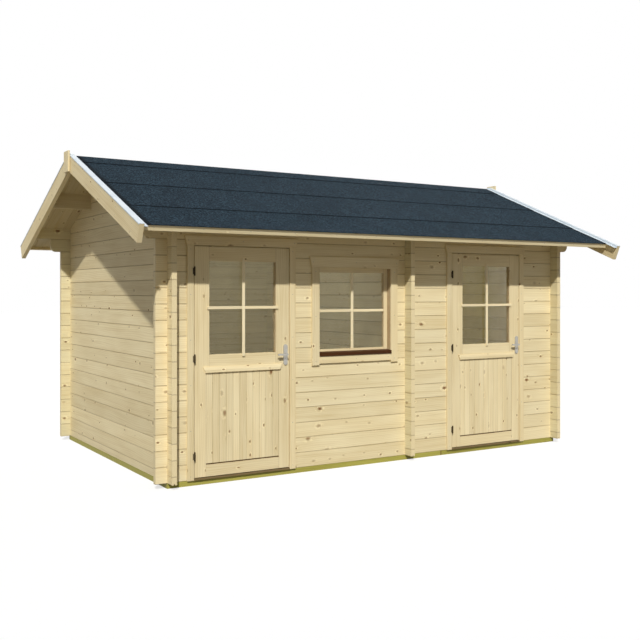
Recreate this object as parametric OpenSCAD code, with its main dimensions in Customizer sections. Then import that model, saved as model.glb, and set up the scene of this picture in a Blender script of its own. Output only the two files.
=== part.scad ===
// Log summer house with two rooms, two half-glazed doors and one window in its long front.
// The origin lies on the ground under the middle of the house. X runs along the ridge,
// the front faces -Y and Z points up. Lengths are in millimetres and angles in degrees.

/* [Log walls] */
// Length of the house over its outer wall faces
wall_len = 4470; // [4200:10:5400]
// Depth of the house over its outer wall faces
wall_dep = 2890; // [2400:10:3600]
// Thickness of a wall log
log_t = 44; // [40:1:60]
// Cover height of one log course
course_h = 135; // [125:1:145]
// Full courses of the front wall below the corbel logs
courses = 15; // [15:1:16]
// Bevel along each edge of a log
log_bevel = 4; // [2:0.5:6]
// Width of the tongue on a log
tongue_w = 12; // [8:1:16]
// Height of the tongue on a log
tongue_h = 9; // [5:1:12]
// How far the log ends stand past the wall that they cross
log_end = 103; // [80:1:150]
// Play between two logs of a stack
log_gap = 0.3; // [0.1:0.1:0.8]
// Play in the notches where two walls cross
notch_gap = 0.4; // [0.2:0.1:0.8]

/* [Layout of the front wall] */
// Wall on the left of the left door leaf
left_pier = 239; // [200:1:300]
// Wall between the left door leaf and the clear window opening
window_pier = 319; // [280:1:360]
// Wall between the clear window opening and the partition
partition_pier = 176; // [160:1:220]
// Wall between the partition and the right door leaf
door_pier = 542; // [480:1:600]
// Wall on the right of the right door leaf
right_pier = 524; // [450:1:600]

/* [Foundation and floor] */
// Height of the foundation beams
beam_h = 45; // [35:1:70]
// Width of the foundation beams
beam_w = 70; // [60:1:100]
// Butt joint of the front beam, from the left outer wall face
beam_joint_at = 2900; // [2700:10:3000]
// Width of a floor joist
joist_w = 45; // [30:1:70]
// Largest spacing of the floor joists
joist_pitch = 520; // [400:10:700]
// Thickness of the floor boards
floor_t = 19; // [16:1:28]
// Gap between the floor and the walls or door frames
floor_gap = 8; // [2:1:15]

/* [Roof] */
// Slope of the roof
pitch = 22.3; // [18:0.1:26]
// Height of the bevelled plate log at the outer wall face
plate_rise = 96; // [80:1:105]
// Thickness of the roof boards
board_t = 19; // [16:1:28]
// Eave overhang, from the wall to the face of the fascia
eave_out = 427; // [300:1:500]
// Gable overhang, from the wall to the inner face of the barge boards
gable_out = 375; // [260:1:450]
// How far the corbel logs stand out at the gables
corbel_out = 214; // [160:1:240]
// Radius of the rounded end of a corbel log
corbel_r = 60; // [30:1:90]
// Thickness of a purlin
purlin_t = 44; // [38:1:70]
// Depth of a purlin
purlin_h = 150; // [120:1:170]
// Distance of the side purlins from the middle of the house
purlin_at = 645; // [500:5:800]
// Thickness of the eave fascias
fascia_t = 20; // [14:1:28]
// Depth of the eave fascias across the slope
fascia_h = 46; // [35:1:60]
// Thickness of the barge boards
barge_t = 40; // [20:1:45]
// Depth of the barge boards across the slope
barge_h = 150; // [110:1:170]
// How far the barge boards stand above the roof boards
barge_rise = 20; // [5:1:30]
// How far the left barge boards run past the fascia
left_barge_past = 46; // [10:1:140]
// How far the right barge boards run past the fascia
right_barge_past = 120; // [10:1:140]
// Width of the finial boards
finial_w = 140; // [100:1:180]
// Height of the finial boards
finial_h = 197; // [150:1:240]
// Thickness of the finial boards
finial_t = 20; // [12:1:28]
// How far the finial boards stand above the roof boards
finial_rise = 42; // [20:1:80]

/* [Roof cover] */
// Thickness of the felt at the upper end of a strip
felt_t = 3; // [2:0.5:5]
// Step of the felt where one strip laps over the next
felt_step = 3; // [2:0.5:5]
// Visible width of a felt strip
felt_row = 655; // [500:5:900]
// Width of the ridge strip on each slope
cap_w = 220; // [150:5:300]
// Thickness of the ridge strip
cap_t = 3; // [2:0.5:5]
// How far the felt drips over the fascia
felt_drip = 8; // [0:1:20]
// Width of the verge trim inside the barge board
trim_in = 35; // [20:1:60]
// Thickness of the verge trim
trim_t = 3; // [2:0.5:5]
// Height of the lip that hangs over the edge of the barge board
trim_lip = 6; // [3:1:15]

/* [Doors] */
// Width of a door leaf
leaf_w = 910; // [860:1:930]
// Thickness of a door leaf
leaf_t = 42; // [38:1:46]
// How far the leaf stands out of the wall face
leaf_out = 12; // [8:1:16]
// Running gap around the leaf
door_gap = 7; // [7:0.5:10]
// Thickness of the door frame
frame_t = 34; // [24:1:40]
// Height of the threshold
threshold_h = 14; // [10:1:25]
// How far the threshold stands out of the wall face
threshold_out = 20; // [10:1:40]
// Settling gap over the door and window frames
settle_gap = 13; // [5:1:25]
// Width of the door stop
stop_w = 18; // [14:1:24]
// Thickness of the door stop
stop_t = 18; // [12:1:24]
// Width of the side casings
casing_w = 60; // [45:1:80]
// Thickness of all casing boards
casing_t = 18; // [14:1:18]
// Height of the header board
header_h = 78; // [70:1:95]
// How far a header board reaches past the side casings
header_past = 24; // [10:1:30]
// Cut-back of the slanted ends of a header board
header_cut = 18; // [0:1:30]
// Width of the stiles beside the lower panel
stile_w = 103; // [90:1:115]
// Width of the stiles beside the glass
light_in = 135; // [120:1:150]
// Height of the top rail of a leaf
top_rail_h = 122; // [100:1:140]
// Height of the bottom rail of a leaf
bottom_rail_h = 99; // [80:1:130]
// Top of the lower panel, from the bottom of the leaf
panel_top = 880; // [820:1:900]
// Bottom of the glass, from the bottom of the leaf
light_at = 1031; // [990:1:1060]
// Thickness of the lower panel
panel_t = 18; // [16:1:22]
// How far the lower panel lies behind the face of the leaf
panel_back = 2; // [0:0.5:10]
// Thickness of the tongue around the lower panel
panel_tongue = 8; // [6:1:10]
// Height of the groove along the foot of the lower panel
foot_gap = 12; // [5:1:15]
// Depth of the groove along the foot of the lower panel
foot_depth = 10; // [4:1:11]
// Width of one board of the lower panel
panel_board = 65; // [50:1:90]
// Depth of the grooves between the panel boards
panel_groove = 4; // [2:0.5:6]
// Thickness of the glass
glass_t = 4; // [3:0.5:6]
// Depth of the grooves that hold glass and panel
rebate = 8; // [5:1:12]
// Distance of the weather bar's upper ends from the edges of the leaf
weather_in = 74; // [65:1:100]
// Height of the weather bar
weather_h = 48; // [35:1:60]
// How far the weather bar stands out of the leaf
weather_out = 14; // [10:1:35]
// Cut-back of the slanted ends of the weather bar
weather_cut = 21; // [10:1:40]

/* [Fittings] */
// Radius of a hinge barrel
barrel_r = 6; // [5:0.5:6]
// Length of a hinge barrel
barrel_h = 76; // [60:1:100]
// Radius of a hinge pin
pin_r = 3; // [2.5:0.5:3.5]
// Radial play of a hinge pin
pin_gap = 0.1; // [0.05:0.05:0.2]
// Distance from the face of the leaf to the hinge axis
hinge_out = 13; // [13:0.5:15]
// Thickness of a hinge plate
hinge_plate_t = 1.8; // [1.5:0.1:2]
// Depth of a hinge plate behind the hinge axis
hinge_plate_d = 40; // [30:1:48]
// Distance of the lowest hinge from the bottom of the leaf
hinge_in = 180; // [120:1:260]
// Height of the middle hinge above the bottom of the leaf
hinge_mid = 1001; // [900:1:1100]
// Distance of the top hinge from the top of the leaf
hinge_drop = 210; // [120:1:260]
// Centre line of the lock, from the lock edge of the leaf
lock_in = 38; // [35:1:60]
// Height of the lever above the bottom of the leaf
lever_z = 1010; // [980:1:1020]
// Radius at the ends of a lock plate
plate_r = 20; // [16:1:25]
// Length of a lock plate
plate_h = 184; // [150:1:200]
// Thickness of a lock plate
plate_t = 8; // [5:1:10]
// Distance of the lever from the middle of the plate
lever_up = 4; // [0:1:20]
// Length of a lever from its axis
lever_len = 95; // [80:1:110]
// Radius of the neck of a lever
neck_r = 9; // [7:0.5:11]
// Gap between a lever and its plate
lever_out = 28; // [20:1:40]
// Thickness of a lever
lever_t = 12; // [8:1:16]
// Radius of the free end of a lever
lever_tip_r = 8; // [6:0.5:9]
// Radius of the spindle that joins two levers
spindle_r = 5; // [4:0.5:6]
// Radial play of the neck in its plate
neck_gap = 1; // [0.5:0.1:2]

/* [Window] */
// Width of the clear opening
window_w = 806; // [760:1:830]
// Log courses below the window
window_course = 7; // [6:1:8]
// Log courses beside the window
window_courses = 7; // [7:1:7]
// Thickness of the sides of the window frame
window_side_t = 34; // [24:1:45]
// Height of the head of the window frame
window_head_h = 69; // [50:1:90]
// Height of the bottom of the window frame
window_foot_h = 52; // [40:1:70]
// Width of the side casings of the window
window_casing_w = 77; // [60:1:90]
// Height of the window's header board
window_header_h = 101; // [80:1:110]
// Height of the casing board below the sill
apron_h = 66; // [50:1:80]
// How far the side casings run below that board
casing_drop = 16; // [5:1:30]
// Height of the sill at its outer edge
sill_h = 30; // [20:1:35]
// Height that the sill gains towards the sash
sill_fall = 8; // [4:1:12]
// How far the sill stands out of the wall face
sill_out = 26; // [20:1:40]
// Distance of the sash behind the wall face
sash_back = 50; // [30:1:60]
// Thickness of the sash
sash_t = 30; // [26:1:34]
// Depth of the window frame behind the sash
sash_stop = 5; // [0:1:20]
// Width of the sash members
sash_w = 42; // [35:1:55]
// Height of the bottom member of the sash above the sill
sash_foot = 20; // [15:1:55]

/* [Hidden] */
$fn = 48;

// Gap at which one piece seats on another
seat = 0.3;
// Overshoot of a cut past the face that it opens
over = 1;

spruce = "#e4cf9c";
planed = "#ecdcb2";
treated = "#97964a";
felt_blue = "#36424f";
trim_white = "#eef1f4";
sill_brown = "#4a2722";
threshold_grey = "#8a7a62";
glass_grey = "#9aa39c";
steel_dark = "#3a3733";
steel_pale = "#a9adb0";

// Wall lines
front_y = -wall_dep / 2;
front_mid = front_y + log_t / 2;
log_h = course_h - log_gap;
groove_w = tongue_w + 2 * log_gap;
groove_d = tongue_h + log_gap;
right_wall_at = wall_len - log_t;

// Places along the front wall, from its left end: the plain stretches of wall share evenly
// what the two doors, the window and the partition leave of the length
piers = left_pier + window_pier + partition_pier + door_pier + right_pier;
pier_fit = (wall_len - 2 * leaf_w - window_w - log_t) / piers;
left_door_at = left_pier * pier_fit;
window_at = left_door_at + leaf_w + window_pier * pier_fit;
partition_at = window_at + window_w + partition_pier * pier_fit;
right_door_at = partition_at + log_t + door_pier * pier_fit;

// Roof lines, as heights over the middle of the house
ridge_under = beam_h + (courses + 1) * course_h + plate_rise + wall_dep / 2 * tan(pitch);
ridge_top = ridge_under + board_t / cos(pitch);
eave_y = wall_dep / 2 + eave_out;
eave_run = eave_y / cos(pitch);
boards_run = eave_run - fascia_t - seat;
gable_x = wall_len / 2 + gable_out;
felt_x = gable_x - trim_in;
felt_end = eave_run + felt_drip;
plain_courses = floor((under_z(wall_dep / 2 + log_end) - beam_h) / course_h - 0.5);
gable_courses = floor((ridge_under - beam_h) / course_h - 0.5);

// Door lines, in each door's own place: x from the hinge edge, y from the wall face
frame_x = door_gap + frame_t;
reveal_x = frame_x + seat;
opening_top = beam_h + courses * course_h;
head_z = opening_top - settle_gap - frame_t;
threshold_z = beam_h + threshold_h;
leaf_z = threshold_z + door_gap;
leaf_top = head_z - door_gap;
leaf_y = -leaf_out;
leaf_back = leaf_y + leaf_t;
leaf_mid = leaf_y + leaf_t / 2;
stop_y = leaf_back + door_gap;
frame_back = stop_y + stop_t;
light_z = leaf_z + light_at;
light_top = leaf_top - top_rail_h;
panel_y = leaf_y + panel_back;
panel_mid = panel_y + panel_t / 2;
panel_z = leaf_z + bottom_rail_h;
panel_z1 = leaf_z + panel_top;
lock_at = leaf_w - lock_in;
weather_z = panel_z1 + seat;
hinge_x = -door_gap / 2;
hinge_y = leaf_y - hinge_out;
hinge_zs = [leaf_z + hinge_in, leaf_z + hinge_mid, leaf_top - hinge_drop];
spindle_z = leaf_z + lever_z;

// Window lines, in the window's own place: x from the clear opening, y from the wall face
window_z = beam_h + window_course * course_h;
window_z1 = window_z + window_courses * course_h - settle_gap;
clear_z = window_z + window_foot_h;
clear_z1 = window_z1 - window_head_h;
window_reveal = window_side_t + seat;
sash_in = sash_back + sash_t;
window_back = sash_in + sash_stop;

function from_left(d) = d - wall_len / 2;
function under_z(y) = ridge_under - abs(y) * tan(pitch);
function top_z(y) = ridge_top - abs(y) * tan(pitch);
function course_z(i) = beam_h + i * course_h;
function cross_z(k) = beam_h + max(0, k - 0.5) * course_h;
function cross_h(k) =
    k == 0 ? course_h / 2 - log_gap :
    k == gable_courses ? ridge_under - cross_z(k) : log_h;
// Gable logs above the corbels end at the inner faces of the plate logs
function cross_end(k) = cross_z(k) < course_z(courses + 1) ? log_end : -log_t - notch_gap;
function quarter_z(j) = beam_h + course_h / 4 + j * course_h / 2;

// A point of the roof cover: s down the slope from the ridge, h above the roof boards
function slope_point(s, h) =
    [s * cos(pitch) + h * sin(pitch), ridge_top - s * sin(pitch) + h * cos(pitch)];

module box(x0, x1, y0, y1, z0, z1) {
    translate([x0, y0, z0]) cube([x1 - x0, y1 - y0, z1 - z0]);
}

// Extrudes an outline of (y, z) along X
module along_x(x0, x1) {
    translate([x0, 0, 0]) rotate([90, 0, 90]) linear_extrude(x1 - x0) children();
}

// Extrudes an outline of (x, z) along Y
module along_y(y0, y1) {
    translate([0, y1, 0]) rotate([90, 0, 0]) linear_extrude(y1 - y0) children();
}

module both_ends() {
    children();
    mirror([1, 0, 0]) children();
}

module front_and_back() {
    children();
    mirror([0, 1, 0]) children();
}

module at_door(d) {
    translate([from_left(d), front_y, 0]) children();
}

module at_window() {
    translate([from_left(window_at), front_y, 0]) children();
}

// Section of a log: bevelled edges, a groove below and a tongue on top
module log_section(h, tongue) {
    half = log_t / 2;
    foot = [
        [-half, log_bevel], [-half + log_bevel, 0], [-groove_w / 2, 0], [-groove_w / 2, groove_d],
        [groove_w / 2, groove_d], [groove_w / 2, 0], [half - log_bevel, 0], [half, log_bevel]
    ];
    head = [[half, h - log_bevel], [half - log_bevel, h]];
    crest = [
        [tongue_w / 2, h], [tongue_w / 2, h + tongue_h],
        [-tongue_w / 2, h + tongue_h], [-tongue_w / 2, h]
    ];
    end = [[-half + log_bevel, h], [-half, h - log_bevel]];
    polygon(concat(foot, head, tongue ? crest : [], end));
}

// A log of the front or back wall
module long_log(x0, x1, i, y_mid = front_mid, tongue = true) {
    along_x(x0, x1) translate([y_mid, course_z(i)]) log_section(log_h, tongue);
}

// A log of a side wall or the partition, half a course higher than its neighbours
module cross_log(at, k) {
    along_y(front_y - cross_end(k), -front_y + cross_end(k))
        translate([from_left(at) + log_t / 2, cross_z(k)])
            log_section(cross_h(k), k < gable_courses);
}

// Notches in the front wall for the logs of the cross wall at this place
module cross_notches(at) {
    for (k = [0 : courses + 2])
        box(from_left(at) - notch_gap, from_left(at) + log_t + notch_gap,
            front_y - over, front_y + log_t + over,
            k == 0 ? beam_h - over : quarter_z(2 * k - 1) - notch_gap / 2,
            quarter_z(2 * k) + notch_gap / 2);
}

// Notches in a cross wall for the logs of the front and back walls
module long_notches(at) {
    front_and_back()
        for (k = [0 : courses + 1])
            box(from_left(at) - over, from_left(at) + log_t + over,
                front_y - notch_gap, front_y + log_t + notch_gap,
                quarter_z(2 * k) - notch_gap / 2, quarter_z(2 * k + 1) + notch_gap / 2);
}

// The room under the roof boards
module under_roof(x0, x1) {
    along_x(x0, x1)
        translate([0, -seat])
            polygon([[-eave_y, 0], [eave_y, 0], [eave_y, under_z(eave_y)], [0, ridge_under],
                     [-eave_y, under_z(eave_y)]]);
}

module ridge_purlin_bar(play) {
    box(-gable_x + seat, gable_x - seat, -purlin_t / 2 - play, purlin_t / 2 + play,
        ridge_under - purlin_h - play, ridge_under);
}

module side_purlin_bar(play) {
    box(-gable_x + seat, gable_x - seat, -purlin_at - purlin_t - play, -purlin_at + play,
        under_z(purlin_at) - purlin_h - play, under_z(purlin_at));
}

module cross_wall(at) {
    color(spruce)
        difference() {
            union() {
                for (k = [0 : plain_courses]) cross_log(at, k);
                intersection() {
                    for (k = [plain_courses + 1 : gable_courses]) cross_log(at, k);
                    under_roof(from_left(at) - over, from_left(at) + log_t + over);
                }
            }
            long_notches(at);
            ridge_purlin_bar(notch_gap);
            front_and_back() side_purlin_bar(notch_gap);
        }
}

module foundation_beams() {
    color(treated) {
        box(-wall_len / 2, from_left(beam_joint_at) - seat, front_y, front_y + beam_w, 0, beam_h);
        box(from_left(beam_joint_at) + seat, wall_len / 2, front_y, front_y + beam_w, 0, beam_h);
        box(-wall_len / 2, wall_len / 2, -front_y - beam_w, -front_y, 0, beam_h);
        for (x = [from_left(0), from_left(partition_at + (log_t - beam_w) / 2), from_left(wall_len - beam_w)])
            box(x, x + beam_w, front_y + beam_w + seat, -front_y - beam_w - seat, 0, beam_h);
    }
}

// Joists spread evenly between two inner wall faces
module joist_row(x0, x1) {
    bays = ceil((x1 - x0) / joist_pitch);
    for (i = [1 : bays - 1]) {
        x = x0 + (x1 - x0) * i / bays;
        box(x - joist_w / 2, x + joist_w / 2, front_y + beam_w + seat, -front_y - beam_w - seat, 0, beam_h);
    }
}

module floor_joists() {
    color(treated) {
        joist_row(from_left(log_t), from_left(partition_at));
        joist_row(from_left(partition_at + log_t), from_left(right_wall_at));
    }
}

module room_floor(x0, x1) {
    color(planed)
        box(x0 + floor_gap, x1 - floor_gap, front_y + max(log_t, frame_back) + floor_gap,
            -front_y - log_t - floor_gap, beam_h, beam_h + floor_t);
}

module left_room_floor() {
    room_floor(from_left(log_t), from_left(partition_at));
}

module right_room_floor() {
    room_floor(from_left(partition_at + log_t), from_left(right_wall_at));
}

module front_wall_left() {
    color(spruce)
        difference() {
            for (i = [0 : courses - 1])
                long_log(from_left(-log_end), from_left(left_door_at - reveal_x), i);
            cross_notches(0);
        }
}

module front_wall_middle() {
    x0 = from_left(left_door_at + leaf_w + reveal_x);
    x1 = from_left(right_door_at - reveal_x);
    color(spruce)
        difference() {
            for (i = [0 : courses - 1])
                if (i >= window_course && i < window_course + window_courses) {
                    long_log(x0, from_left(window_at - window_reveal), i);
                    long_log(from_left(window_at + window_w + window_reveal), x1, i);
                } else {
                    long_log(x0, x1, i, tongue = i != window_course - 1);
                }
            cross_notches(partition_at);
        }
}

module front_wall_right() {
    color(spruce)
        difference() {
            for (i = [0 : courses - 1])
                long_log(from_left(right_door_at + leaf_w + reveal_x), from_left(wall_len + log_end), i);
            cross_notches(right_wall_at);
        }
}

// Notches of all three cross walls
module all_cross_notches() {
    for (at = [0, partition_at, right_wall_at]) cross_notches(at);
}

// Corbel log with rounded lower ends, and the bevelled plate log that carries the eave
module top_logs() {
    corbel_x = wall_len / 2 + corbel_out;
    corbel_z = course_z(courses);
    color(spruce)
        difference() {
            union() {
                difference() {
                    long_log(-corbel_x, corbel_x, courses);
                    both_ends()
                        difference() {
                            box(corbel_x - corbel_r, corbel_x + over, front_y - over, front_y + log_t + over,
                                corbel_z - over, corbel_z + corbel_r);
                            translate([corbel_x - corbel_r, 0, corbel_z + corbel_r])
                                rotate([90, 0, 0])
                                    cylinder(r = corbel_r, h = wall_dep + 2 * over, center = true);
                        }
                }
                intersection() {
                    long_log(-gable_x + seat, gable_x - seat, courses + 1, tongue = false);
                    under_roof(-gable_x, gable_x);
                }
            }
            all_cross_notches();
        }
}

module front_top_logs() {
    top_logs();
}

module back_wall() {
    color(spruce)
        mirror([0, 1, 0])
            difference() {
                for (i = [0 : courses - 1])
                    long_log(from_left(-log_end), from_left(wall_len + log_end), i);
                all_cross_notches();
            }
}

module back_top_logs() {
    mirror([0, 1, 0]) top_logs();
}

module left_wall() {
    cross_wall(0);
}

module partition_wall() {
    cross_wall(partition_at);
}

module right_wall() {
    cross_wall(right_wall_at);
}

module ridge_purlin() {
    color(spruce)
        intersection() {
            ridge_purlin_bar(0);
            under_roof(-gable_x, gable_x);
        }
}

module side_purlins() {
    color(spruce)
        front_and_back()
            intersection() {
                side_purlin_bar(0);
                under_roof(-gable_x, gable_x);
            }
}

module front_roof_boards() {
    color(planed)
        along_x(-gable_x + seat, gable_x - seat)
            mirror([1, 0])
                polygon([[seat, under_z(seat)], [seat, top_z(seat)], slope_point(boards_run, 0),
                         slope_point(boards_run, -board_t)]);
}

module back_roof_boards() {
    mirror([0, 1, 0]) front_roof_boards();
}

// Felt strips that lap down the slope, each a step higher at its lower edge
module felt_slope() {
    rows = ceil((felt_end - cap_w) / felt_row);
    laps = [for (i = [0 : rows]) i == 0 ? 0 : min(cap_w + i * felt_row, felt_end)];
    upper = [for (i = [0 : rows - 1]) each
        [slope_point(laps[i], felt_t), slope_point(laps[i + 1], felt_t + felt_step)]];
    color(felt_blue)
        along_x(-felt_x + seat, felt_x - seat)
            mirror([1, 0])
                polygon(concat([slope_point(seat, seat)], upper, [slope_point(felt_end, seat)]));
}

module front_felt() {
    felt_slope();
}

module back_felt() {
    mirror([0, 1, 0]) felt_slope();
}

module ridge_strip() {
    rise = felt_step * cap_w / (cap_w + felt_row);
    low = felt_t + seat;
    under = slope_point(cap_w, low + rise);
    upper = slope_point(cap_w, low + rise + cap_t);
    color(felt_blue)
        along_x(-felt_x + seat, felt_x - seat)
            polygon([[-under[0], under[1]], [0, ridge_top + low / cos(pitch)], under,
                     upper, [0, ridge_top + (low + cap_t) / cos(pitch)], [-upper[0], upper[1]]]);
}

// Two boards that meet at the ridge and stand above the roof boards, their ends square to the slope
module barge_pair(past) {
    run = eave_run + past / cos(pitch);
    fall = seat * tan(pitch);
    crest = ridge_top + barge_rise / cos(pitch) - fall;
    color(planed)
        front_and_back()
            along_x(gable_x, gable_x + barge_t)
                mirror([1, 0])
                    polygon([[seat, crest], slope_point(run, barge_rise),
                             slope_point(run, barge_rise - barge_h), [seat, crest - barge_h / cos(pitch)]]);
}

module right_barge_boards() {
    barge_pair(right_barge_past);
}

module left_barge_boards() {
    mirror([1, 0, 0]) barge_pair(left_barge_past);
}

module finial_boards() {
    x = gable_x + barge_t + trim_t + 2 * seat;
    color(planed)
        both_ends()
            box(x, x + finial_t, -finial_w / 2, finial_w / 2,
                ridge_top + finial_rise - finial_h, ridge_top + finial_rise);
}

// Boards across the ends of the roof boards, square to the slope
module eave_fascias() {
    back = eave_run - fascia_t;
    color(planed)
        front_and_back()
            along_x(-gable_x + seat, gable_x - seat)
                mirror([1, 0])
                    polygon([slope_point(eave_run, 0), slope_point(eave_run, -fascia_h),
                             slope_point(back, -fascia_h), slope_point(back, 0)]);
}

// A band that folds over the ridge, between two heights above the roof boards
module folded_band(run, low, high) {
    foot = slope_point(run, low);
    head = slope_point(run, high);
    polygon([[-foot[0], foot[1]], [0, ridge_top + low / cos(pitch)], foot,
             head, [0, ridge_top + high / cos(pitch)], [-head[0], head[1]]]);
}

// A folded strip over both slopes: a flange on the roof boards, a cap over the barge boards
// and a lip outside them
module verge_trim(past) {
    run = eave_run + past / cos(pitch);
    rib_x = gable_x - seat;
    lip_x = gable_x + barge_t + seat;
    cap = barge_rise + seat;
    color(trim_white)
        difference() {
            along_x(felt_x, lip_x + trim_t) folded_band(run, seat, cap + trim_t);
            along_x(felt_x - over, rib_x - trim_t) folded_band(run + over, seat + trim_t, 2 * cap);
            along_x(rib_x, lip_x) folded_band(run + over, -2 * trim_lip, cap);
            along_x(lip_x - over, lip_x + 2 * trim_t)
                folded_band(run + over, -2 * trim_lip, barge_rise - trim_lip);
        }
}

module verge_trims() {
    verge_trim(right_barge_past);
    mirror([1, 0, 0]) verge_trim(left_barge_past);
}

module window_frame() {
    color(planed)
        at_window()
            difference() {
                box(-window_side_t, window_w + window_side_t, 0, window_back, window_z, window_z1);
                box(0, window_w, -over, window_back + over, clear_z, clear_z1);
            }
}

// Board with slanted ends over a door or the window
module header_board(x0, x1, z, h) {
    along_y(-casing_t - seat, -seat)
        polygon([[x0 + header_cut, z], [x1 - header_cut, z], [x1, z + h], [x0, z + h]]);
}

module window_casing() {
    side_z = clear_z - apron_h - casing_drop;
    color(planed)
        at_window() {
            for (x = [-window_casing_w, window_w])
                box(x, x + window_casing_w, -casing_t - seat, -seat, side_z, clear_z1 - seat);
            header_board(-window_casing_w - header_past, window_w + window_casing_w + header_past,
                         clear_z1, window_header_h);
            box(seat, window_w - seat, -casing_t - seat, -seat, clear_z - apron_h, clear_z - seat);
        }
}

module window_sill() {
    color(sill_brown)
        at_window()
            along_x(seat, window_w - seat)
                polygon([[-sill_out, clear_z], [sash_back - seat, clear_z],
                         [sash_back - seat, clear_z + sill_h + sill_fall], [-sill_out, clear_z + sill_h]]);
}

module window_sash() {
    light_z0 = clear_z + sill_h + sill_fall + sash_foot;
    pane_y = sash_back + sash_t / 2;
    color(planed)
        at_window()
            difference() {
                box(seat, window_w - seat, sash_back, sash_in, clear_z + seat, clear_z1 - seat);
                box(sash_w, window_w - sash_w, sash_back - over, sash_in + over,
                    light_z0, clear_z1 - sash_w);
                box(sash_w - rebate, window_w - sash_w + rebate,
                    pane_y - glass_t / 2 - seat, pane_y + glass_t / 2 + seat,
                    light_z0 - rebate, clear_z1 - sash_w + rebate);
            }
}

module window_glass() {
    inset = sash_w - rebate + seat;
    low = clear_z + sill_h + sill_fall + sash_foot - rebate + seat;
    pane_y = sash_back + sash_t / 2;
    color(glass_grey, 0.5)
        at_window()
            box(inset, window_w - inset, pane_y - glass_t / 2, pane_y + glass_t / 2,
                low, clear_z1 - inset);
}

module door_frame() {
    inner = leaf_w + door_gap;
    color(planed)
        difference() {
            box(-frame_x, inner + frame_t, 0, frame_back, beam_h, head_z + frame_t);
            box(-door_gap, inner, -over, stop_y, beam_h - over, head_z);
            box(-door_gap + stop_w, inner - stop_w, -over, frame_back + over,
                beam_h - over, head_z - stop_w);
        }
}

module door_casing() {
    inner = leaf_w + door_gap;
    header_z = head_z + door_gap / 2;
    color(planed) {
        for (x = [-door_gap - casing_w, inner])
            box(x, x + casing_w, -casing_t - seat, -seat, beam_h, header_z - seat);
        header_board(-door_gap - casing_w - header_past, inner + casing_w + header_past,
                     header_z, header_h);
    }
}

module door_threshold() {
    color(threshold_grey)
        box(-door_gap + seat, leaf_w + door_gap - seat, -threshold_out, stop_y - seat,
            beam_h, threshold_z);
}

// Stiles and rails, with grooves that hold the glass and the panel
module door_leaf() {
    color(planed)
        difference() {
            box(0, leaf_w, leaf_y, leaf_back, leaf_z, leaf_top);
            box(light_in, leaf_w - light_in, leaf_y - over, leaf_back + over, light_z, light_top);
            box(light_in - rebate, leaf_w - light_in + rebate,
                leaf_mid - glass_t / 2 - seat, leaf_mid + glass_t / 2 + seat,
                light_z - rebate, light_top + rebate);
            box(stile_w, leaf_w - stile_w, leaf_y - over, leaf_back + over, panel_z, panel_z1);
            box(stile_w - rebate, leaf_w - stile_w + rebate,
                panel_mid - panel_tongue / 2 - seat, panel_mid + panel_tongue / 2 + seat,
                panel_z - rebate, panel_z1 + rebate);
            translate([lock_at, 0, spindle_z])
                rotate([90, 0, 0])
                    cylinder(r = neck_r + neck_gap, h = 2 * leaf_t + 2 * leaf_out, center = true);
        }
}

// Lower panel of upright boards with grooves between them, and a tongue around its edge
module door_panel() {
    inner = stile_w + seat;
    outer = stile_w - rebate + seat;
    boards = round((leaf_w - 2 * stile_w) / panel_board);
    step = (leaf_w - 2 * stile_w) / boards;
    color(planed)
        difference() {
            union() {
                box(inner, leaf_w - inner, panel_y, panel_y + panel_t, panel_z + seat, panel_z1 - seat);
                box(outer, leaf_w - outer, panel_mid - panel_tongue / 2, panel_mid + panel_tongue / 2,
                    panel_z - rebate + seat, panel_z1 + rebate - seat);
            }
            for (i = [1 : boards - 1], side = [-1, 1])
                translate([stile_w + i * step, panel_mid + side * panel_t / 2, panel_z])
                    rotate([0, 0, 45])
                        translate([-panel_groove / 2, -panel_groove / 2, 0])
                            cube([panel_groove, panel_groove, panel_z1 - panel_z]);
            box(inner - over, leaf_w - inner + over, panel_y - over, panel_y + foot_depth,
                panel_z, panel_z + foot_gap);
        }
}

module door_glass() {
    inset = light_in - rebate + seat;
    color(glass_grey, 0.5)
        box(inset, leaf_w - inset, leaf_mid - glass_t / 2, leaf_mid + glass_t / 2,
            light_z - rebate + seat, light_top + rebate - seat);
}

// Sloping bar with slanted ends that throws rain off the lower panel
module door_weather_bar() {
    x0 = weather_in;
    x1 = leaf_w - weather_in;
    back = leaf_y - seat;
    color(planed)
        intersection() {
            along_y(back - weather_out, back)
                polygon([[x0 + weather_cut, weather_z], [x1 - weather_cut, weather_z],
                         [x1, weather_z + weather_h], [x0, weather_z + weather_h]]);
            along_x(x0, x1)
                polygon([[back, weather_z], [back, weather_z + weather_h],
                         [back - weather_out / 2, weather_z + weather_h],
                         [back - weather_out, weather_z + weather_h / 2], [back - weather_out, weather_z]]);
        }
}

// Frame half of each hinge: a plate on the frame, the lower barrel and its pin
module door_hinge_pins() {
    color(steel_dark)
        for (z = hinge_zs)
            translate([hinge_x, hinge_y, z]) {
                translate([0, 0, -barrel_h / 2]) {
                    cylinder(r = barrel_r, h = barrel_h / 2 - seat);
                    cylinder(r = pin_r, h = barrel_h - seat);
                }
                box(-door_gap / 2 + seat, -door_gap / 2 + seat + hinge_plate_t, 0, hinge_plate_d,
                    -barrel_h / 2, -seat);
            }
}

// Leaf half of each hinge: a plate on the edge of the leaf and the bored upper barrel
module door_hinge_knuckles() {
    color(steel_dark)
        for (z = hinge_zs)
            translate([hinge_x, hinge_y, z + seat])
                difference() {
                    union() {
                        cylinder(r = barrel_r, h = barrel_h / 2);
                        box(door_gap / 2 - seat - hinge_plate_t, door_gap / 2 - seat, 0, hinge_plate_d,
                            0, barrel_h / 2);
                    }
                    translate([0, 0, -over]) cylinder(r = pin_r + pin_gap, h = barrel_h);
                }
}

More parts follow.
